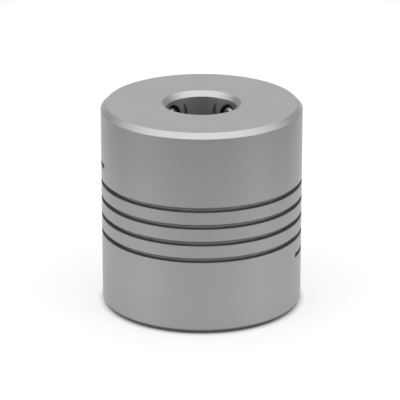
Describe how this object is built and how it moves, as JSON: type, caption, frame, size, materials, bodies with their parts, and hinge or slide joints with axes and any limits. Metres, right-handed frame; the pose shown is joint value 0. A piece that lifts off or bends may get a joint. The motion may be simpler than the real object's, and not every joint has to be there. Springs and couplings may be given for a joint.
{
  "type": "beam coupling",
  "caption": "Cylindrical one-piece beam coupling with a spiral slot between two bored hubs, each with radial set screws for clamping a shaft.",
  "frame": {"origin": "centre of the lower end face", "axes": "+Z along the shaft axis towards the upper hub, -Y at the front, with the set screws at the back on the +Y side"},
  "size_m": [0.0286, 0.0286, 0.0295],
  "materials": {
    "anodised_aluminium": "satin, clear anodised over a fine blasted surface",
    "set_screw_steel": "plain hardened steel"
  },
  "bodies": {
    "upper_hub": {"upper_hub": "anodised_aluminium"},
    "upper_beam_root": {"upper_beam_root": "anodised_aluminium"},
    "upper_beam_turn": {"upper_beam_turn": "anodised_aluminium"},
    "middle_beam_turn": {"middle_beam_turn": "anodised_aluminium"},
    "lower_beam_turn": {"lower_beam_turn": "anodised_aluminium"},
    "lower_beam_root": {"lower_beam_root": "anodised_aluminium"},
    "lower_hub": {"lower_hub": "anodised_aluminium"},
    "upper_left_set_screw": {"upper_left_set_screw": "set_screw_steel"},
    "upper_right_set_screw": {"upper_right_set_screw": "set_screw_steel"},
    "lower_left_set_screw": {"lower_left_set_screw": "set_screw_steel"},
    "lower_right_set_screw": {"lower_right_set_screw": "set_screw_steel"}
  },
  "joints": [
    {"name": "beam_stretch", "type": "slide", "parent": "lower_hub", "child": "lower_beam_root", "axis": [0, 0, 1], "range_m": [-0.00025, 0.00025], "stiffness_N_per_m": 11500},
    {"name": "lower_tilt", "type": "hinge", "parent": "lower_beam_root", "child": "lower_beam_turn", "pos_m": [0, 0, 0.01107], "axis": [1, 0, 0], "range_deg": [-1.8, 1.8], "stiffness_Nm_per_rad": 2.3},
    {"name": "lower_middle_tilt", "type": "hinge", "parent": "lower_beam_turn", "child": "middle_beam_turn", "pos_m": [0, 0, 0.01354], "axis": [0, 1, 0], "range_deg": [-1.8, 1.8], "stiffness_Nm_per_rad": 2.3},
    {"name": "upper_middle_tilt", "type": "hinge", "parent": "middle_beam_turn", "child": "upper_beam_turn", "pos_m": [0, 0, 0.01601], "axis": [1, 0, 0], "range_deg": [-1.8, 1.8], "stiffness_Nm_per_rad": 2.3},
    {"name": "upper_tilt", "type": "hinge", "parent": "upper_beam_turn", "child": "upper_beam_root", "pos_m": [0, 0, 0.01848], "axis": [0, 1, 0], "range_deg": [-1.8, 1.8], "stiffness_Nm_per_rad": 2.3},
    {"name": "beam_twist", "type": "hinge", "parent": "upper_beam_root", "child": "upper_hub", "pos_m": [0, 0, 0.02121], "axis": [0, 0, 1], "range_deg": [-2.2, 2.2], "stiffness_Nm_per_rad": 19},
    {"name": "upper_left_set_screw_travel", "type": "slide", "parent": "upper_hub", "child": "upper_left_set_screw", "axis": [-0.8339, 0.5519, 0], "range_m": [-0.0007, 0.0028]},
    {"name": "upper_right_set_screw_travel", "type": "slide", "parent": "upper_hub", "child": "upper_right_set_screw", "axis": [0.7771, 0.6293, 0], "range_m": [-0.0007, 0.0028]},
    {"name": "lower_left_set_screw_travel", "type": "slide", "parent": "lower_hub", "child": "lower_left_set_screw", "axis": [-0.8339, 0.5519, 0], "range_m": [-0.0007, 0.0028]},
    {"name": "lower_right_set_screw_travel", "type": "slide", "parent": "lower_hub", "child": "lower_right_set_screw", "axis": [0.7771, 0.6293, 0], "range_m": [-0.0007, 0.0028]}
  ]
}
